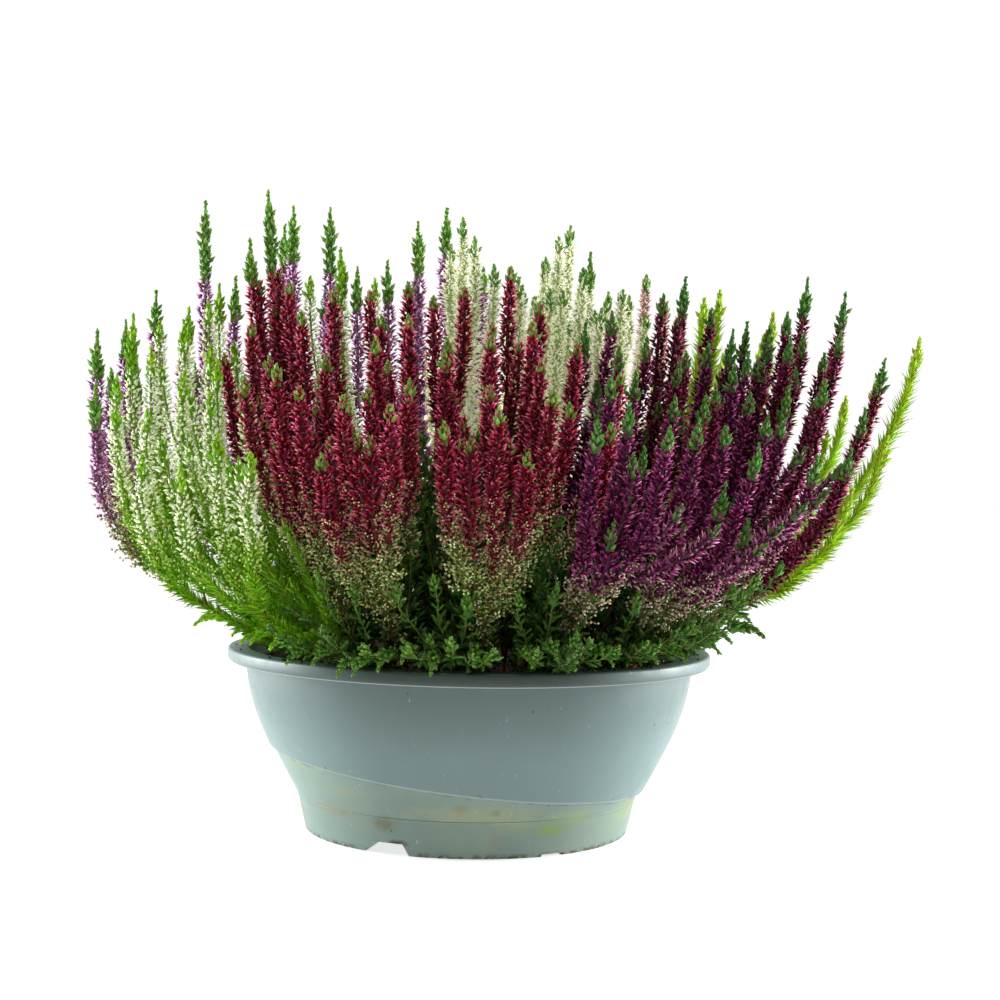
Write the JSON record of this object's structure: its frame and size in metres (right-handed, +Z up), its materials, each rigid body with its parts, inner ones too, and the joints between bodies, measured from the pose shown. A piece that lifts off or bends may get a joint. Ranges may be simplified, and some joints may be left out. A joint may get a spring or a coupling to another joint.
{
  "type": "potted heather",
  "caption": "Shallow round plastic bowl filled with soil and planted with upright flowering heathers of several colours that arch out over the rim.",
  "frame": {"origin": "on the bowl's axis, in the plane of the flat face that it stands on", "axes": "+Z up along the bowl's axis; -Y is the front, where the crimson heather leans out; +X to the right, where the purple heather and the long golden shoot lean out"},
  "size_m": [0.4037, 0.3009, 0.31],
  "materials": {
    "pot": "grey-blue moulded plastic, satin, with soil stains",
    "soil": "dark moist potting soil, crumbly and matt",
    "crimson": "crimson flower buds over green leafy stems",
    "purple": "purple flower buds over green leafy stems",
    "lilac": "lilac flower buds with green tips over green leafy stems",
    "white": "white flower buds over lime-green leafy stems",
    "cream": "cream-white flower buds over green leafy stems",
    "pink": "pale pink flower buds over green leafy stems",
    "golden": "golden-lime leaves",
    "leafy": "dark green leaves"
  },
  "bodies": {
    "root": {"pot": "pot", "soil": "soil", "crimson_spray_01": "crimson", "crimson_spray_02": "crimson", "crimson_spray_03": "crimson", "crimson_spray_04": "crimson", "crimson_spray_05": "crimson", "crimson_spray_06": "crimson", "crimson_spray_07": "crimson", "crimson_spray_08": "crimson", "crimson_spray_09": "crimson", "crimson_spray_10": "crimson", "crimson_spray_11": "crimson", "crimson_spray_12": "crimson", "purple_spray_01": "purple", "purple_spray_02": "purple", "purple_spray_03": "purple", "purple_spray_04": "purple", "purple_spray_05": "purple", "purple_spray_06": "purple", "purple_spray_07": "purple", "purple_spray_08": "purple", "purple_spray_09": "purple", "purple_spray_10": "purple", "purple_spray_11": "purple", "lilac_spray_01": "lilac", "lilac_spray_02": "lilac", "lilac_spray_03": "lilac", "lilac_spray_04": "lilac", "lilac_spray_05": "lilac", "lilac_spray_06": "lilac", "lilac_spray_07": "lilac", "lilac_spray_08": "lilac", "white_spray_01": "white", "white_spray_02": "white", "white_spray_03": "white", "white_spray_04": "white", "white_spray_05": "white", "white_spray_06": "white", "white_spray_07": "white", "cream_spray_01": "cream", "cream_spray_02": "cream", "cream_spray_03": "cream", "cream_spray_04": "cream", "cream_spray_05": "cream", "pink_spray_01": "pink", "pink_spray_02": "pink", "golden_spray_01": "golden", "golden_spray_02": "golden", "golden_spray_03": "golden", "golden_spray_04": "golden", "golden_spray_05": "golden", "leafy_spray_01": "leafy", "leafy_spray_02": "leafy", "leafy_spray_03": "leafy", "leafy_spray_04": "leafy", "leafy_spray_05": "leafy", "leafy_spray_06": "leafy", "leafy_spray_07": "leafy", "leafy_spray_08": "leafy"}
  },
  "joints": []
}
